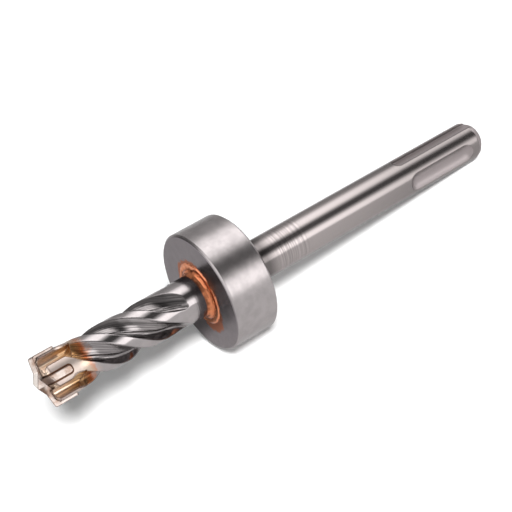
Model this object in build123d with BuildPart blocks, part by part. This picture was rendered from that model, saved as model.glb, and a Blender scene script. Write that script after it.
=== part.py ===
from build123d import *
from math import atan2, cos, radians, sin, sqrt, tan
import os

# Masonry drill bit with a stop collar, for a hammer drill that takes a 10 mm grooved shank.
# A station is a distance along the tool axis in mm: 0 at the collar's stop face,
# negative toward the cutting tip and positive toward the shank end.
# A roll is an angle about the axis in degrees, 0 on the side that is up when the tool lies down.

# Overall lengths
tip_station = -43.3
shank_end = 86.4

# Shank
shank_radius = 5.0
nose_length = 1.15
nose_drop = 0.4
nose_edge_length = 1.1
nose_edge_drop = 1.0

# Fluted body, which ends in a small shoulder behind the collar
body_radius = 5.25
shoulder_length = 0.25

# Head, with stations measured back from the tip
head_radius = 5.5
head_front_centre = tip_station + 1.9
head_front_edge = tip_station + 2.35
head_front_rim = tip_station + 3.0
head_bevel = 0.8
head_length = 7.8
head_taper = 2.3

# Stop collar
collar_radius = 14.7
collar_width = 11.4
collar_chamfer = 0.5
collar_roll = 178.5

# Braze that joins the collar to the body and fills the countersink of its bore
braze_film = 0.1
countersink_radius = 7.8
countersink_depth = 0.6
braze_length = 1.55
braze_bend_radius = 0.45
braze_bend_length = 0.7
braze_bead_width = 0.45
braze_bead_height = 0.22
rear_braze_leg = 0.8

# Carbide plates: one across the whole head and two short ones square to it
cutting_radius = 6.0
plate_thickness = 1.6
plate_rear = tip_station + 7.4
plate_rear_rounding = 0.6
plate_roll = 55.95
plate_seam = 0.12

# Cutting edges, all on the leading faces of the plates
edge_angle = 8.0
relief_angle = 25.0
relief_reach = 3.0
corner_width = 0.25
corner_length = 0.4
main_corner = tip_station + 1.5
side_corner = tip_station + 2.05
point_radius = 2.6

# Straight gullets in front of the four cutting edges
wings = 4
gullet_lead = 41.5
gullet_width = 3.3
gullet_floor = 3.2
gullet_corner = 0.7
gullet_end = tip_station + 8.2

# Helical dust flutes, one behind each gullet
flute_pitch = 43.0
flute_lead = 13.3
flute_lead_station = tip_station + 12.3
flute_angle = 62.0
flute_foot = 4.0
flute_foot_angle = 1.5
flute_floor = 3.1
flute_floor_angle = 12.0
flute_ridge = 3.4
flute_ridge_angle = 24.0
flute_hollow = 0.12
flute_trough_flats = 5
flute_steps = 12

# Run-in behind the gullets and run-out before the collar, where the flute straightens
run_in_station = tip_station + 10.5
run_in_slope = 0.45
run_out_station = -10.2
run_out_slope = 0.47
run_out_angle = 20.0
straighten_station = -13.2
straighten_length = 6.5
run_clearance = 0.4

# Drive grooves, open to the shank end
groove_roll = 0.0
groove_width = 3.3
groove_floor = 3.75
groove_station = 60.0

# Locking pockets, closed at both ends, a quarter turn from the grooves
pocket_roll = groove_roll + 90
pocket_round = 3.5
pocket_floor = 3.55
pocket_station = 60.5
pocket_length = 22.5

# Margin by which a cutter passes the stock
spare = 1.0

os.makedirs("parts", exist_ok=True)

# The tool lies on the collar's rear rim and on both edges of the drive groove that is underneath
nose_station = shank_end - nose_edge_length - nose_length
groove_edge_height = sqrt(shank_radius ** 2 - (groove_width / 2) ** 2)
rear_rim_station = collar_width - collar_chamfer
rest_angle = atan2(collar_radius - groove_edge_height, nose_station - rear_rim_station)
axis_direction = Vector(cos(rest_angle), 0, -sin(rest_angle))
upper_side = Vector(sin(rest_angle), 0, cos(rest_angle))

# The origin is on the floor under the middle of the lying tool
end_radius = shank_radius - nose_drop - nose_edge_drop
rear_x = shank_end * cos(rest_angle) + end_radius * sin(rest_angle)
front_x = tip_station * cos(rest_angle)
stop_face_height = rear_rim_station * sin(rest_angle) + collar_radius * cos(rest_angle)
stop_face_centre = Vector(-(rear_x + front_x) / 2, 0, stop_face_height)
tool = Plane(origin=stop_face_centre, x_dir=upper_side, z_dir=axis_direction)
tool_axis = Axis(stop_face_centre, axis_direction)


def across(station, roll=0.0):
    """Plane square to the axis at a station, with its X pointing out at the roll."""
    outward = tool.x_dir * cos(radians(roll)) + tool.y_dir * sin(radians(roll))
    return Plane(origin=tool.origin + tool.z_dir * station, x_dir=outward, z_dir=tool.z_dir)


def along(roll=0.0, aside=0.0):
    """Plane through the axis: X is the station, Y the radius at the roll; or beside it."""
    radial = across(0, roll)
    return Plane(origin=radial.origin, x_dir=radial.z_dir, z_dir=radial.y_dir).offset(aside)


def polar(radius, angle):
    """Point at a radius and an angle in degrees."""
    return Vector(radius * cos(radians(angle)), radius * sin(radians(angle)))


def turned(shape, angle):
    """Copy of a shape turned about the tool axis."""
    return shape.rotate(tool_axis, angle)


# Stock of the body: one turned bar
head_rear = tip_station + head_length
shoulder_station = collar_width + rear_braze_leg + shoulder_length
with BuildPart() as stock:
    with BuildSketch(along()):
        with BuildLine():
            Polyline(
                (head_front_centre, 0),
                (head_front_edge, head_radius - head_bevel),
                (head_front_rim, head_radius),
                (head_rear, head_radius),
                (head_rear + head_taper, body_radius),
                (shoulder_station, body_radius),
                (shoulder_station + shoulder_length, shank_radius),
                (nose_station, shank_radius),
                (nose_station + nose_length, shank_radius - nose_drop),
                (shank_end, end_radius),
                (shank_end, 0),
                close=True,
            )
        make_face()
    revolve(axis=tool_axis)

# Stop collar, its bore countersunk at the stop face
bore_radius = body_radius + braze_film
with BuildPart() as stop_collar:
    with BuildSketch(across(0, collar_roll)):
        Circle(collar_radius)
        Circle(bore_radius, mode=Mode.SUBTRACT)
    extrude(amount=collar_width)
    rims = stop_collar.edges().filter_by(GeomType.CIRCLE).sort_by(SortBy.RADIUS)
    chamfer(rims[-2:], collar_chamfer)
    mouth = rims[:2].sort_by(tool_axis)[0]
    stop_face = stop_collar.faces().sort_by(tool_axis)[0]
    chamfer(mouth, countersink_radius - bore_radius, countersink_depth, reference=stop_face)
stop_collar.part.label = "stop_collar"
export_step(stop_collar.part, "parts/stop_collar.step")

# Braze of the collar: a hollow fillet in the countersink, a film in the bore and a fillet behind
with BuildPart() as collar_braze:
    with BuildSketch(along()):
        with BuildLine():
            Polyline(
                (-braze_length, body_radius),
                (-braze_bend_length, body_radius + braze_bend_radius),
                (-braze_bead_height, countersink_radius - 3 * braze_bead_width),
                (-braze_bead_height, countersink_radius - braze_bead_width),
                (0, countersink_radius),
                (countersink_depth, bore_radius),
                (collar_width, bore_radius),
                (collar_width, bore_radius + rear_braze_leg),
                (collar_width + rear_braze_leg, body_radius),
                close=True,
            )
        make_face()
    revolve(axis=tool_axis)
collar_braze.part.label = "collar_braze"
export_step(collar_braze.part, "parts/collar_braze.step")


def relief_cutter(corner, inner_end, roll):
    """Air in front of a cutting edge; it falls away at the relief angle behind the leading face."""
    edge = [(corner, cutting_radius - corner_width), (corner + corner_length, cutting_radius)]
    air_front = tip_station - 4 * spare
    air = [(corner + corner_length, cutting_radius + spare), (air_front, cutting_radius + spare)]
    leading_face = along(roll, -plate_thickness / 2)
    fall = radians(relief_angle)
    fall_direction = leading_face.z_dir * cos(fall) + leading_face.x_dir * sin(fall)
    with BuildPart() as cutter:
        with BuildSketch(leading_face):
            with BuildLine():
                Polyline(*inner_end, *edge, *air, (air_front, inner_end[0][1]), close=True)
            make_face()
        extrude(amount=relief_reach / cos(fall), dir=fall_direction)
    return cutter.part


def plate_blank(inner_radius, outer_radius, roll, seam=0.0):
    """Plate standing in front of its rounded rear edges, or the seat that takes it."""
    front = tip_station - spare
    rear = plate_rear + seam
    thickness = plate_thickness + 2 * seam
    with BuildPart() as blank:
        with BuildSketch(along(roll)):
            with BuildLine():
                Polyline(
                    (front, inner_radius),
                    (front, outer_radius),
                    (rear, outer_radius),
                    (rear, inner_radius),
                    close=True,
                )
            make_face()
        extrude(amount=thickness / 2, both=True)
        rear_face = blank.faces().sort_by(tool_axis)[-1]
        fillet(rear_face.edges().sort_by(SortBy.LENGTH)[-2:], plate_rear_rounding + seam)
    return blank.part


def edge_station(corner, radius):
    """Station of a straight cutting edge at a radius."""
    return corner - (cutting_radius - corner_width - radius) * tan(radians(edge_angle))


# Air in front of the four cutting edges; the two halves of the main edge meet in a chisel point
side_rolls = [plate_roll, plate_roll + 180]
main_rolls = [plate_roll + 90, plate_roll + 270]
side_inner = plate_thickness / 2
side_inner_end = [(edge_station(side_corner, side_inner), side_inner)]
point_start = tip_station - plate_thickness / 2 * tan(radians(relief_angle))
point_break = edge_station(main_corner, point_radius)
main_inner_end = [(2 * point_start - point_break, -point_radius), (point_break, point_radius)]
side_reliefs = [relief_cutter(side_corner, side_inner_end, roll) for roll in side_rolls]
main_reliefs = [relief_cutter(main_corner, main_inner_end, roll) for roll in main_rolls]

# Cutting plates
with BuildPart() as main_cutting_plate:
    add(plate_blank(-cutting_radius, cutting_radius, main_rolls[0]))
    for air in main_reliefs:
        add(air, mode=Mode.SUBTRACT)
main_cutting_plate.part.label = "main_cutting_plate"
export_step(main_cutting_plate.part, "parts/main_cutting_plate.step")

with BuildPart() as side_cutting_plate_1:
    add(plate_blank(side_inner + plate_seam, cutting_radius, side_rolls[0]))
    add(side_reliefs[0], mode=Mode.SUBTRACT)
side_cutting_plate_1.part.label = "side_cutting_plate_1"
export_step(side_cutting_plate_1.part, "parts/side_cutting_plate_1.step")

with BuildPart() as side_cutting_plate_2:
    add(plate_blank(side_inner + plate_seam, cutting_radius, side_rolls[1]))
    add(side_reliefs[1], mode=Mode.SUBTRACT)
side_cutting_plate_2.part.label = "side_cutting_plate_2"
export_step(side_cutting_plate_2.part, "parts/side_cutting_plate_2.step")

# Seats of the plates, wider than the plates by a braze seam all round
seat_radius = cutting_radius + spare
main_seat = plate_blank(-seat_radius, seat_radius, main_rolls[0], plate_seam)
side_seat_1 = plate_blank(side_inner + plate_seam, seat_radius, side_rolls[0], plate_seam)
side_seat_2 = plate_blank(side_inner + plate_seam, seat_radius, side_rolls[1], plate_seam)

# Braze of the plates: it fills each seat round its plate, flush with the steel
with BuildPart() as main_plate_braze:
    add(main_seat)
    add(stock.part, mode=Mode.INTERSECT)
    for cut in [main_cutting_plate.part] + main_reliefs + side_reliefs:
        add(cut, mode=Mode.SUBTRACT)
main_plate_braze.part.label = "main_plate_braze"
export_step(main_plate_braze.part, "parts/main_plate_braze.step")

with BuildPart() as side_plate_braze_1:
    add(side_seat_1)
    add(stock.part, mode=Mode.INTERSECT)
    for cut in [side_cutting_plate_1.part] + main_reliefs + side_reliefs:
        add(cut, mode=Mode.SUBTRACT)
side_plate_braze_1.part.label = "side_plate_braze_1"
export_step(side_plate_braze_1.part, "parts/side_plate_braze_1.step")

with BuildPart() as side_plate_braze_2:
    add(side_seat_2)
    add(stock.part, mode=Mode.INTERSECT)
    for cut in [side_cutting_plate_2.part] + main_reliefs + side_reliefs:
        add(cut, mode=Mode.SUBTRACT)
side_plate_braze_2.part.label = "side_plate_braze_2"
export_step(side_plate_braze_2.part, "parts/side_plate_braze_2.step")

# Gullet cutter: a round-cornered slot from the front, rising to the surface in a quarter round
gullet_roll = plate_roll + gullet_lead
gullet_rise = body_radius - gullet_floor
gullet_depth = head_radius + spare - gullet_floor
with BuildPart() as gullet:
    with BuildSketch(across(tip_station - spare, gullet_roll)):
        with Locations((gullet_floor + gullet_depth / 2, 0)):
            slot = Rectangle(gullet_depth, gullet_width)
        fillet(slot.vertices().group_by(Axis.X)[0], gullet_corner)
    extrude(amount=gullet_end + gullet_rise - tip_station + spare)
    with BuildSketch(along(gullet_roll)):
        with BuildLine():
            base = Line((tip_station - spare, gullet_floor), (gullet_end, gullet_floor))
            rise = TangentArc(
                base @ 1,
                (gullet_end + gullet_rise, gullet_floor + gullet_rise),
                tangent=(1, 0),
            )
            Polyline(
                rise @ 1,
                (gullet_end + gullet_rise, gullet_floor + gullet_depth),
                (tip_station - spare, gullet_floor + gullet_depth),
                base @ 0,
            )
        make_face()
    extrude(amount=gullet_width, both=True, mode=Mode.INTERSECT)


def flute_turn(station):
    """Roll of the first flute's steep wall at a station; the helix straightens at its end."""
    run = max(0.0, station - straighten_station)
    slowing = min(run, straighten_length)
    lost = run - slowing + slowing ** 2 / (2 * straighten_length)
    return plate_roll + flute_lead + 360 / flute_pitch * (station - flute_lead_station - lost)


def flute_lift(station):
    """Shift of the flute's section out from its full depth; the cutter leaves the bar aslant."""
    run_in = max(0.0, run_in_slope * (run_in_station - station))
    run_out = max(0.0, run_out_slope * (station - run_out_station))
    return polar(run_in, -flute_floor_angle) + polar(run_out, run_out_angle)


# Flute cutter: one section lofted along the helix, lifted out of the bar at both ends
flute_start = run_in_station - (head_radius + run_clearance - flute_floor) / run_in_slope
run_out_rise = run_out_slope * cos(radians(run_out_angle + flute_floor_angle))
flute_stop = run_out_station + (body_radius + run_clearance - flute_floor) / run_out_rise
flute_reach = 2 * body_radius
with BuildPart() as flute:
    for step in range(flute_steps + 1):
        station = flute_start + (flute_stop - flute_start) * step / flute_steps
        lift = flute_lift(station)
        foot = lift + polar(flute_foot, -flute_foot_angle)
        floor = lift + polar(flute_floor, -flute_floor_angle)
        ridge = lift + polar(flute_ridge, -flute_ridge_angle)
        brink = lift + polar(body_radius, -flute_angle)
        middle = (ridge + brink) / 2 - (brink - ridge).normalized().rotate(Axis.Z, 90) * flute_hollow
        with BuildSketch(across(station, flute_turn(station))):
            with BuildLine():
                round_trough = ThreePointArc(foot, floor, ridge, mode=Mode.PRIVATE)
                Polyline(*[round_trough @ (k / flute_trough_flats) for k in range(flute_trough_flats + 1)])
                web = ThreePointArc(ridge, middle, brink)
                far_side = web @ 1 + web % 1 * body_radius
                Polyline(brink, far_side, (flute_reach, far_side.Y), (flute_reach, lift.Y), foot)
            make_face()
    loft()

# Drive groove cutter: a slot milled with a round-ended cutter
with BuildPart() as groove:
    radial = across(0, groove_roll)
    floor_centre = radial.origin + radial.x_dir * groove_floor
    groove_run = shank_end + groove_width - (groove_station + groove_width / 2)
    with BuildSketch(Plane(origin=floor_centre, x_dir=radial.z_dir, z_dir=radial.x_dir)):
        with Locations((groove_station + groove_width / 2 + groove_run / 2, 0)):
            SlotCenterToCenter(groove_run, groove_width)
    extrude(amount=shank_radius - groove_floor + spare)

# Locking pocket cutter: a round-nosed cutter run along the shank
pocket_centre = pocket_floor + pocket_round
first_centre = pocket_station + pocket_round
last_centre = pocket_station + pocket_length - pocket_round
with BuildPart() as pocket:
    with BuildSketch(along(pocket_roll)):
        with BuildLine():
            front_end = (pocket_station, pocket_centre)
            rear_end = (pocket_station + pocket_length, pocket_centre)
            entry = RadiusArc(front_end, (first_centre, pocket_floor), -pocket_round)
            run = Line(entry @ 1, (last_centre, pocket_floor))
            RadiusArc(run @ 1, rear_end, -pocket_round)
            Line(rear_end, front_end)
        make_face()
    radial = across(0, pocket_roll)
    revolve(axis=Axis(radial.origin + radial.x_dir * pocket_centre, axis_direction))

# Steel body: the bar with flutes, gullets, plate seats, ground reliefs, grooves and pockets
with BuildPart() as drill_body:
    add(stock.part)
    for wing in range(wings):
        add(turned(flute.part, wing * 360 / wings), mode=Mode.SUBTRACT)
        add(turned(gullet.part, wing * 360 / wings), mode=Mode.SUBTRACT)
    for cut in [main_seat, side_seat_1, side_seat_2] + main_reliefs + side_reliefs:
        add(cut, mode=Mode.SUBTRACT)
    for side in (0, 180):
        add(turned(groove.part, side), mode=Mode.SUBTRACT)
        add(turned(pocket.part, side), mode=Mode.SUBTRACT)
drill_body.part.label = "drill_body"
export_step(drill_body.part, "parts/drill_body.step")
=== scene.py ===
from math import atan2, cos, radians, sin, sqrt

import bmesh
import bpy
from mathutils import Matrix, Vector

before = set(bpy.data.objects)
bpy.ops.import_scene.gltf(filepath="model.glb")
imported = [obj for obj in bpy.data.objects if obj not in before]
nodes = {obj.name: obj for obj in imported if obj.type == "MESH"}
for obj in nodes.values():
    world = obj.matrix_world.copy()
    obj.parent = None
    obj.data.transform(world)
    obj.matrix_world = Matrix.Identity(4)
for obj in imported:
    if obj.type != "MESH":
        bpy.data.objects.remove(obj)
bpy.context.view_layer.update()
scene = bpy.context.scene
scene.view_settings.view_transform = "Standard"
MM = 0.001

# Sizes of the tool in millimetres, as in the part's source.
# A station is a distance along the axis: 0 at the stop face, negative toward the tip.
TIP = -43.3
SHANK_END = 86.4
SHANK_RADIUS = 5.0
NOSE_STATION = 84.15
NOSE_RADIUS = 3.6
GROOVE_WIDTH = 3.3
COLLAR_RADIUS = 14.7
REAR_RIM = 10.9
FLUTE_PITCH = 43.0
PLATE_ROLL = 55.95
RELIEF_ANGLE = 25.0

# The tool's own frame, as it lies on the collar's rear rim and on a groove near the shank end
GROOVE_EDGE = sqrt(SHANK_RADIUS ** 2 - (GROOVE_WIDTH / 2) ** 2)
TILT = atan2(COLLAR_RADIUS - GROOVE_EDGE, NOSE_STATION - REAR_RIM)
AXIS = Vector((cos(TILT), 0, -sin(TILT)))
CROWN = Vector((sin(TILT), 0, cos(TILT)))
FRONT = Vector((0, -1, 0))
STOP = Vector((-((SHANK_END + TIP) * cos(TILT) + NOSE_RADIUS * sin(TILT)) / 2, 0,
               REAR_RIM * sin(TILT) + COLLAR_RADIUS * cos(TILT)))

# Rolls count from CROWN toward FRONT. TOWARD is the side of the photograph's viewpoint,
# and ASIDE is a quarter turn past it.
VIEW_ROLL = radians(53.3)
TOWARD = CROWN * cos(VIEW_ROLL) + FRONT * sin(VIEW_ROLL)
ASIDE = FRONT * cos(VIEW_ROLL) - CROWN * sin(VIEW_ROLL)

# Camera of the photograph: place from the stop face, right and ahead, along AXIS, TOWARD and ASIDE
CAMERA_PLACE = (-107.757, 268.133, 0.0)
CAMERA_RIGHT = (0.788165, 0.364809, 0.495691)
CAMERA_AHEAD = (0.421833, -0.906667, -0.003457)
CAMERA_LENS = 89.13


def along_tool(parts):
    """Vector with the given parts along AXIS, TOWARD and ASIDE."""
    return AXIS * parts[0] + TOWARD * parts[1] + ASIDE * parts[2]


def look():
    """Camera at the photograph's angle; returns its right, up and ahead directions."""
    ahead = along_tool(CAMERA_AHEAD).normalized()
    right = along_tool(CAMERA_RIGHT).normalized()
    right = (right - ahead * right.dot(ahead)).normalized()
    up = right.cross(ahead)
    camera = bpy.data.objects.new("camera", bpy.data.cameras.new("camera"))
    scene.collection.objects.link(camera)
    camera.data.sensor_width = 36
    camera.data.lens = CAMERA_LENS
    camera.data.clip_start = 0.01
    camera.data.clip_end = 20
    turn = Matrix((right, up, -ahead)).transposed()
    place = (STOP + along_tool(CAMERA_PLACE)) * MM
    camera.matrix_world = Matrix.Translation(place) @ turn.to_4x4()
    scene.camera = camera
    return right, up, ahead


class Tree:
    """Short way to write a node tree."""

    def __init__(self, owner):
        owner.use_nodes = True
        self.nodes = owner.node_tree.nodes
        self.links = owner.node_tree.links
        self.nodes.clear()

    def add(self, kind, inputs=(), **settings):
        node = self.nodes.new("ShaderNode" + kind)
        for key, value in settings.items():
            setattr(node, key, value)
        for key, value in dict(inputs).items():
            self.put(node, key, value)
        return node

    def put(self, node, key, value):
        socket = node.inputs[key]
        if hasattr(value, "is_output"):
            self.links.new(value, socket)
        elif hasattr(value, "outputs"):
            self.links.new(value.outputs[0], socket)
        else:
            socket.default_value = value

    def math(self, operation, a, b=0.0, c=0.0):
        return self.add("Math", {0: a, 1: b, 2: c}, operation=operation).outputs[0]

    def plus(self, a, b):
        return self.math("ADD", a, b)

    def minus(self, a, b):
        return self.math("SUBTRACT", a, b)

    def times(self, a, b):
        return self.math("MULTIPLY", a, b)

    def distance(self, a, b):
        return self.math("ABSOLUTE", self.minus(a, b))

    def dot(self, a, b):
        return self.add("VectorMath", {0: a, 1: b}, operation="DOT_PRODUCT").outputs["Value"]

    def vector(self, x, y=0.0, z=0.0):
        return self.add("CombineXYZ", {0: x, 1: y, 2: z}).outputs[0]

    def noise(self, place, scale, detail, roughness=0.5):
        return self.add("TexNoise", {"Vector": place, "Scale": scale, "Detail": detail,
                                     "Roughness": roughness}).outputs[0]

    def span(self, value, low, high, to_low=0.0, to_high=1.0):
        """Smooth step from to_low at low to to_high at high."""
        node = self.add("MapRange", {0: value, 1: low, 2: high, 3: to_low, 4: to_high})
        node.interpolation_type = "SMOOTHSTEP"
        return node.outputs[0]

    def vary(self, noise, low, high):
        """Noise spread over a range; most of it lies between 0.3 and 0.7."""
        return self.span(noise, 0.3, 0.7, low, high)

    def ramp(self, value, stops):
        """Colours or grey levels at given values, with straight lines between them."""
        first = stops[0][0]
        length = stops[-1][0] - first
        node = self.add("ValToRGB", {0: self.math("MULTIPLY_ADD", value, 1 / length, -first / length)})
        elements = node.color_ramp.elements
        elements.remove(elements[1])
        for k, (at, colour) in enumerate(stops):
            element = elements.new((at - first) / length) if k else elements[0]
            if not hasattr(colour, "__len__"):
                colour = (colour, colour, colour)
            element.color = (*colour[:3], 1.0)
        return node.outputs["Color"]

    def mix(self, factor, a, b, mode="MIX"):
        node = self.add("Mix", {0: factor}, data_type="RGBA", blend_type=mode)
        self.put(node, 6, a)
        self.put(node, 7, b)
        return node.outputs[2]

    def shaded(self, colour, noise, low, high):
        """The colour with its brightness varied by a noise."""
        shade = self.vary(noise, low, high)
        grey = self.add("CombineColor", {0: shade, 1: shade, 2: shade}).outputs[0]
        return self.mix(1.0, colour, grey, "MULTIPLY")

    def tool_frame(self):
        """Station, roll in degrees and radius of a point, and its place as station, front and crown."""
        place = self.add("TexCoord").outputs["Object"]
        local = self.add("VectorMath", {0: place, 1: STOP * MM}, operation="SUBTRACT").outputs[0]
        station, front, crown = (self.times(self.dot(local, way), 1 / MM) for way in (AXIS, FRONT, CROWN))
        roll = self.math("DEGREES", self.math("ARCTAN2", front, crown))
        radius = self.math("SQRT", self.plus(self.times(front, front), self.times(crown, crown)))
        return station, roll, radius, self.vector(station, front, crown)


# Levels of the studio by roll in degrees: two long soft boxes with a dark flag between them
SOFT_BOXES = (
    (-180, 0.22), (-62, 0.21), (-43, 0.25), (-31, 0.70), (-18, 1.0), (2, 0.95), (14, 0.34), (22, 0.04),
    (44, 0.04), (54, 0.34), (64, 1.0), (94, 1.0), (104, 0.40), (120, 0.26), (180, 0.22))
# The darker room forward of them, on the tip's side
TIP_SIDE = (
    (-180, 0.24), (-105, 0.24), (-82, 0.05), (-30, 0.11), (52, 0.11), (66, 0.28), (180, 0.28))
# The soft panel straight before the tip
TIP_PANEL = (0.62, 0.62, 0.62, 1)
# Where the boxes begin and the panel ends, by a direction's part along the axis
BOXES_BEGIN = (-0.34, -0.10)
PANEL_ENDS = (-0.80, -0.68)
STUDIO_STRENGTH = 3.4
FILL_COLOUR = (0.88, 1, 1, 1)
FILL_STRENGTH = 0.05
# The lamp, with its place above and to the right of the camera's line of sight
LAMP_STRENGTH = 4.4
LAMP_WIDTH = 17
LAMP_ABOVE = 0.31
LAMP_RIGHT = 0.03


def studio():
    """Grey room of lights that metal reflects, with a weak even fill for the floor."""
    world = bpy.data.worlds.new("studio")
    scene.world = world
    t = Tree(world)
    direction = t.add("TexCoord").outputs["Generated"]
    roll = t.math("DEGREES", t.math("ARCTAN2", t.dot(direction, FRONT), t.dot(direction, CROWN)))
    along = t.dot(direction, AXIS)
    beside = t.span(along, *BOXES_BEGIN)
    before = t.span(along, *PANEL_ENDS, 1.0, 0.0)
    light = t.mix(beside, t.ramp(roll, TIP_SIDE), t.ramp(roll, SOFT_BOXES))
    seen = t.add("Background", {0: t.mix(before, light, TIP_PANEL), 1: STUDIO_STRENGTH})
    fill = t.add("Background", {0: FILL_COLOUR, 1: FILL_STRENGTH})
    path = t.add("LightPath")
    t.add("OutputWorld", {0: t.add("MixShader", {0: path.outputs["Is Diffuse Ray"], 1: seen, 2: fill})})


def key_light(right, up, ahead):
    """Soft lamp a little above and right of the camera, which throws the shadow downward."""
    data = bpy.data.lights.new("key", "SUN")
    data.energy = LAMP_STRENGTH
    data.angle = radians(LAMP_WIDTH)
    lamp = bpy.data.objects.new("key", data)
    scene.collection.objects.link(lamp)
    toward = (-ahead + up * LAMP_ABOVE + right * LAMP_RIGHT).normalized()
    lamp.rotation_mode = "QUATERNION"
    lamp.rotation_quaternion = toward.to_track_quat("Z", "Y")
    lamp.visible_glossy = False


FLOOR_RADIUS = 4.0
FLOOR_COLOUR = (0.92, 0.92, 0.92, 1)
FLOOR_GLOW = 0.09


def floor():
    """White floor, which glows a little for what looks at it, so that it comes out white."""
    mesh = bpy.data.meshes.new("floor")
    bm = bmesh.new()
    bmesh.ops.create_circle(bm, cap_ends=True, radius=FLOOR_RADIUS, segments=96)
    bm.to_mesh(mesh)
    bm.free()
    piece = bpy.data.objects.new("floor", mesh)
    scene.collection.objects.link(piece)
    mat = bpy.data.materials.new("floor")
    t = Tree(mat)
    lit = t.add("BsdfDiffuse", {"Color": FLOOR_COLOUR})
    glow = t.add("Emission", {0: (1, 1, 1, 1), 1: FLOOR_GLOW})
    path = t.add("LightPath")
    seen = t.math("MAXIMUM", path.outputs["Is Camera Ray"], path.outputs["Is Glossy Ray"])
    seen = t.math("MAXIMUM", seen, path.outputs["Is Transmission Ray"])
    bright = t.add("AddShader", {0: lit, 1: glow})
    t.add("OutputMaterial", {0: t.add("MixShader", {0: seen, 1: lit, 2: bright})})
    mesh.materials.append(mat)


key_light(*look())
studio()
floor()

# Colours of the metals
STEEL = (0.285, 0.262, 0.262, 1)
SHANK = (0.275, 0.247, 0.243, 1)
# Painted shade for the shank's grooves and pockets
RECESS_SHADE = (0.26, 0.23, 0.23, 1)
STOP_FACE = (0.17, 0.152, 0.158, 1)
COPPER_WASH = (0.26, 0.095, 0.052, 1)
PLATE_COPPER = (0.09, 0.045, 0.027, 1)
FLUX = (0.10, 0.05, 0.03, 1)
# Painted shade along the sharp edges of the steel, plain and where heat tinted
STEEL_EDGE_SHADE = (0.12, 0.11, 0.11, 1)
HEATED_EDGE_SHADE = (0.11, 0.055, 0.035, 1)
CARBIDE = (0.50, 0.43, 0.395, 1)
CARBIDE_STAIN = (0.33, 0.235, 0.19, 1)
# Painted shade on the carbide's relief faces
CARBIDE_RELIEF_SHADE = (0.25, 0.17, 0.14, 1)
# Painted shade beside the point, where the solid lacks a darker facet
CARBIDE_PATCH_SHADE = (0.08, 0.048, 0.034, 1)
# Painted highlight on the facet at the point
CARBIDE_POINT_HIGHLIGHT = (0.88, 0.80, 0.74, 1)
# Painted shade along the carbide's sharp edges
CARBIDE_EDGE_SHADE = (0.10, 0.055, 0.04, 1)
# Reflectance of every metal toward grazing
GRAZING = (0.62, 0.62, 0.62, 1)

# Tints by station that the heat of brazing left in the gullets and on the lands
HOLLOW_TINTS = (
    (-43, (0.92, 0.74, 0.62)), (-37.5, (0.88, 0.66, 0.49)), (-35.5, (0.66, 0.42, 0.23)),
    (-33.0, (0.46, 0.24, 0.10)), (-31.4, (0.36, 0.095, 0.03)), (-30.6, (0.36, 0.18, 0.12)), (-29.6, STEEL))
LAND_TINTS = (
    (-43, (0.45, 0.37, 0.34)), (-34, (0.42, 0.35, 0.31)), (-32.4, (0.46, 0.35, 0.27)),
    (-31.4, (0.44, 0.24, 0.17)), (-30.6, (0.37, 0.30, 0.28)), (-29.6, STEEL))
# Painted shade on the shank: share of its brightness by station, from behind the collar to the end, darker
# just behind the collar and dimmer toward the end where its highlights fade
SHANK_PAINTED_SHADE = ((17.0, 0.42), (19.8, 0.95), (30, 1.0), (45, 0.9), (62, 0.7), (80, 0.66))
BODY_ROUGHNESS = ((-45, 0.13), (10, 0.13), (13, 0.16), (25, 0.18), (86, 0.22))
# Colours of the collar's braze by radius: copper, with painted shade next to the neck, a painted dark
# line, a painted highlight in a bright outer ring and painted shade at the outer rim
BRAZE_SHADE_RINGS = (
    (5.2, (0.20, 0.07, 0.035)), (5.6, (0.50, 0.18, 0.085)), (6.1, (0.46, 0.15, 0.07)),
    (6.35, (0.14, 0.045, 0.02)), (6.6, (0.46, 0.155, 0.07)), (7.2, (0.60, 0.25, 0.14)),
    (7.6, (0.52, 0.18, 0.09)), (7.85, (0.16, 0.06, 0.035)))

# Stations where the looks of the body change
GULLET_REAR = -33.0
HEATED_TO = -30.5
FLUTES_END = -2.0
BAR_FROM = 12.0
LATHE_RINGS = 24.0
GROOVES_FROM = 41.0
# Round ends of the plates' seats, and half the flat between their sides
SEAT_BEND = -36.44
SEAT_HALF_FLAT = 0.3
# Least radius of the copper wash on the stop face, and the rolls of its two fans
WASH_RADIUS = 7.85
FAN_ABOVE = -26.0
FAN_BELOW = 145.0
# The patch of painted shade beside the point, and the direction that the facet with the painted highlight
# there faces
PATCH_ASIDE = 2.0
PATCH_REAR = -41.3
POINT_FACET = (-0.81, 0.40, -0.43)


def finish_metal(t, colour, rough, normal):
    shader = t.add("BsdfPrincipled", {"Base Color": colour, "Metallic": 1.0, "Specular Tint": GRAZING,
                                      "Roughness": rough, "Normal": normal})
    t.add("OutputMaterial", {0: shader})


def edge_mask(t, radius):
    """Rounded normal near the sharp edges, and how much it differs there from the true one."""
    soft = t.add("Bevel", {"Radius": radius}, samples=8).outputs[0]
    likeness = t.dot(soft, t.add("NewGeometry").outputs["True Normal"])
    return soft, t.span(likeness, 0.955, 0.994, 1.0, 0.0)


def wheel_streaks_and_painted_bands(t, station, roll):
    """Marks of the grinding wheel, straight in the gullets and then along the flutes; the colour also
    darkens them deeply to paint the webs' reflection bands.
    """
    streaks = 13.0
    turn = t.times(t.math("MAXIMUM", station, GULLET_REAR), 360 / FLUTE_PITCH)
    phase = t.math("RADIANS", t.minus(roll, turn))
    place = t.vector(t.times(t.math("COSINE", phase), streaks), t.times(t.math("SINE", phase), streaks),
                     t.times(station, 0.07))
    return t.noise(place, 1.0, 3.0, 0.6)


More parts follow.
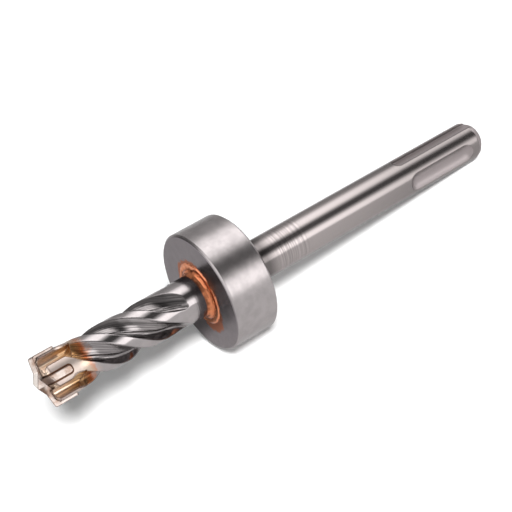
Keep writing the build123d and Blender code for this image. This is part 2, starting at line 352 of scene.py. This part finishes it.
def bar_colour(t, station, recess):
    """Bare bar behind the collar, with painted shade by station, a few coarse rings, and painted shade in
    its grooves and pockets.
    """
    # Painted shade along the bar: darker just behind the collar and dimmer toward the end
    shank_shade = t.ramp(station, [(s, [level * c for c in SHANK[:3]]) for s, level in SHANK_PAINTED_SHADE])
    rings = t.noise(t.vector(t.times(station, 1.7)), 1.0, 2.0)
    ringed = t.span(t.distance(station, LATHE_RINGS), 2.5, 6.0, 1.0, 0.0)
    return t.mix(recess, t.mix(ringed, shank_shade, t.shaded(shank_shade, rings, 0.74, 1.22)), RECESS_SHADE)


def seat_lines(t, station, local):
    """Where flux drew a dark line round the plates' seats on the lands."""
    behind = t.math("MAXIMUM", t.minus(station, SEAT_BEND), 0.0)
    gaps = []
    for roll in (radians(PLATE_ROLL), radians(PLATE_ROLL + 90)):
        across = t.math("ABSOLUTE", t.dot(local, (0, sin(roll), cos(roll))))
        beside = t.math("MAXIMUM", t.minus(across, SEAT_HALF_FLAT), 0.0)
        gaps.append(t.math("SQRT", t.math("MULTIPLY_ADD", beside, beside, t.times(behind, behind))))
    return t.span(t.math("MINIMUM", *gaps), 0.82, 1.0, 1.0, 0.0)


def body_material():
    mat = bpy.data.materials.new("body_steel")
    t = Tree(mat)
    station, roll, radius, local = t.tool_frame()
    streaks = wheel_streaks_and_painted_bands(t, station, roll)
    lathe = t.add("Mapping", {"Vector": local, "Scale": (5.0, 0.12, 0.12)}).outputs[0]
    lathe_marks = t.noise(lathe, 1.0, 3.0)
    grain = t.noise(local, 7.0, 3.0)
    blotch = t.noise(local, 0.5, 3.0)
    fluted = t.times(t.span(radius, 5.0, 5.18, 1.0, 0.0),
                     t.span(station, FLUTES_END - 0.5, FLUTES_END + 0.5, 1.0, 0.0))
    recess = t.times(t.span(radius, 4.8, 4.92, 1.0, 0.0),
                     t.span(station, GROOVES_FROM - 1, GROOVES_FROM + 1))
    wavy = t.plus(station, t.vary(blotch, -0.5, 0.5))
    heated = t.span(wavy, HEATED_TO - 0.5, HEATED_TO + 0.5, 1.0, 0.0)

    hollow = t.span(radius, 4.95, 5.2, 1.0, 0.0)
    colour = t.mix(hollow, t.ramp(wavy, LAND_TINTS), t.ramp(wavy, HOLLOW_TINTS))
    colour = t.shaded(colour, blotch, 0.95, 1.05)
    on_bar = t.span(station, BAR_FROM - 1, BAR_FROM + 1)
    colour = t.mix(on_bar, colour, bar_colour(t, station, recess))
    # The wheel's streaks, darkened deeply so that they also paint the dark and light reflection bands on
    # the webs
    colour = t.mix(fluted, colour, t.shaded(colour, streaks, 0.32, 1.06))
    colour = t.mix(seat_lines(t, station, local), colour, FLUX)
    # Painted shade along the sharp edges of the fluted part, browner where heat tinted
    soft, edge = edge_mask(t, 0.42 * MM)
    edge = t.times(edge, t.span(station, FLUTES_END - 1, FLUTES_END, 0.85, 0.0))
    colour = t.mix(edge, colour, t.mix(heated, STEEL_EDGE_SHADE, HEATED_EDGE_SHADE))

    rough = t.plus(t.ramp(station, BODY_ROUGHNESS), t.vary(grain, 0.0, 0.03))
    rough = t.minus(rough, t.times(fluted, 0.02))
    rough = t.plus(rough, t.times(heated, 0.13))
    rough = t.plus(rough, t.span(station, GULLET_REAR - 1.5, GULLET_REAR, 0.14, 0.0))
    rough = t.plus(rough, t.times(recess, 0.2))

    turned = t.times(lathe_marks, t.span(t.distance(station, LATHE_RINGS), 2.0, 6.0, 6.0, 1.0))
    turned = t.math("MULTIPLY_ADD", grain, 0.2, turned)
    height = t.add("Mix", {0: fluted, 2: turned, 3: t.times(streaks, 6.0)}, data_type="FLOAT").outputs[0]
    bump = t.add("Bump", {"Strength": 0.5, "Distance": 0.012 * MM, "Height": height, "Normal": soft})
    finish_metal(t, colour, rough, bump)
    return mat


def copper_reach(t, roll, blotch):
    """How far copper ran over the stop face: in two fans, above and below, with a ragged edge."""
    above = t.span(t.distance(roll, FAN_ABOVE), 25.0, 60.0, 0.75, 0.0)
    below = t.span(t.distance(roll, FAN_BELOW), 4.0, 52.0, 2.2, 0.0)
    return t.plus(t.plus(t.plus(WASH_RADIUS, above), below), t.vary(blotch, -0.4, 0.4))


def collar_material():
    mat = bpy.data.materials.new("collar_steel")
    t = Tree(mat)
    station, roll, radius, local = t.tool_frame()
    lathe_marks = t.noise(t.vector(t.times(station, 2.5), t.times(radius, 5.0)), 1.0, 3.0)
    grain = t.noise(local, 3.5, 4.0)
    blotch = t.noise(local, 0.5, 4.0)
    face = t.span(station, 0.05, 0.3, 1.0, 0.0)
    washed = t.span(t.minus(radius, copper_reach(t, roll, blotch)), -0.45, 0.25, 1.0, 0.0)
    washed = t.times(washed, face)
    colour = t.mix(washed, t.mix(face, STEEL, STOP_FACE), COPPER_WASH)
    colour = t.shaded(colour, blotch, 0.92, 1.06)
    rough = t.plus(t.vary(grain, 0.25, 0.27), t.times(washed, 0.08))
    height = t.math("MULTIPLY_ADD", grain, 0.05, lathe_marks)
    soft = t.add("Bevel", {"Radius": 0.15 * MM}, samples=6)
    bump = t.add("Bump", {"Strength": 0.5, "Distance": 0.02 * MM, "Height": height, "Normal": soft})
    finish_metal(t, colour, rough, bump)
    return mat


def carbide_colour(t, station, local, blotch):
    """Ground carbide: stained, with painted shade on the relief faces and in a patch beside the point, and
    a painted highlight on a facet at the point.
    """
    normal = t.add("NewGeometry").outputs["True Normal"]
    relief = AXIS * -cos(radians(RELIEF_ANGLE)) + ASIDE * sin(radians(RELIEF_ANGLE))
    on_relief = t.span(t.dot(normal, relief), 0.9, 0.98)
    across = t.dot(local, (0, cos(VIEW_ROLL), -sin(VIEW_ROLL)))
    in_patch = t.times(t.span(t.distance(across, PATCH_ASIDE), 1.0, 1.3, 1.0, 0.0),
                       t.span(station, PATCH_REAR - 1, PATCH_REAR, 1.0, 0.0))
    on_point = t.span(t.dot(normal, along_tool(POINT_FACET)), 0.97, 0.99)
    colour = t.mix(t.span(blotch, 0.42, 0.66), CARBIDE, CARBIDE_STAIN)
    # Painted shade on the relief faces, picked by the way they face
    colour = t.mix(t.times(on_relief, 0.85), colour, CARBIDE_RELIEF_SHADE)
    # Painted shade in a patch beside the point, where the solid lacks a darker facet
    colour = t.mix(t.times(in_patch, 0.95), colour, CARBIDE_PATCH_SHADE)
    # Painted highlight on the facet at the point, picked by the way it faces
    return t.mix(on_point, colour, CARBIDE_POINT_HIGHLIGHT)


def carbide_material():
    mat = bpy.data.materials.new("carbide")
    t = Tree(mat)
    station, _, _, local = t.tool_frame()
    grain = t.noise(local, 4.0, 4.0)
    colour = carbide_colour(t, station, local, t.noise(local, 0.45, 3.0))
    colour = t.shaded(colour, grain, 0.88, 1.08)
    soft, edge = edge_mask(t, 0.3 * MM)
    # Painted shade along the plates' sharp edges
    colour = t.mix(t.times(edge, 0.85), colour, CARBIDE_EDGE_SHADE)
    bump = t.add("Bump", {"Strength": 0.6, "Distance": 0.03 * MM, "Height": grain, "Normal": soft})
    finish_metal(t, colour, 0.3, bump)
    return mat


def collar_copper_material():
    mat = bpy.data.materials.new("collar_copper")
    t = Tree(mat)
    _, _, radius, local = t.tool_frame()
    blotch = t.noise(local, 0.8, 4.0)
    # Bands of painted shade and highlight by radius over the copper
    rings = t.ramp(t.plus(radius, t.vary(blotch, -0.22, 0.22)), BRAZE_SHADE_RINGS)
    bump = t.add("Bump", {"Strength": 0.8, "Distance": 0.08 * MM, "Height": blotch})
    finish_metal(t, t.shaded(rings, blotch, 0.85, 1.1), 0.22, bump)
    return mat


def plate_copper_material():
    """Dark copper, blackened by flux, in the seams round the plates."""
    mat = bpy.data.materials.new("plate_copper")
    t = Tree(mat)
    blotch = t.noise(t.tool_frame()[3], 2.0, 5.0)
    bump = t.add("Bump", {"Strength": 0.6, "Distance": 0.03 * MM, "Height": blotch})
    finish_metal(t, t.shaded(PLATE_COPPER, blotch, 0.8, 1.15), 0.35, bump)
    return mat


def dress(mat, *names):
    for name in names:
        nodes[name].data.materials.clear()
        nodes[name].data.materials.append(mat)


dress(body_material(), "drill_body")
dress(collar_material(), "stop_collar")
dress(collar_copper_material(), "collar_braze")
dress(carbide_material(), "main_cutting_plate", "side_cutting_plate_1", "side_cutting_plate_2")
dress(plate_copper_material(), "main_plate_braze", "side_plate_braze_1", "side_plate_braze_2")
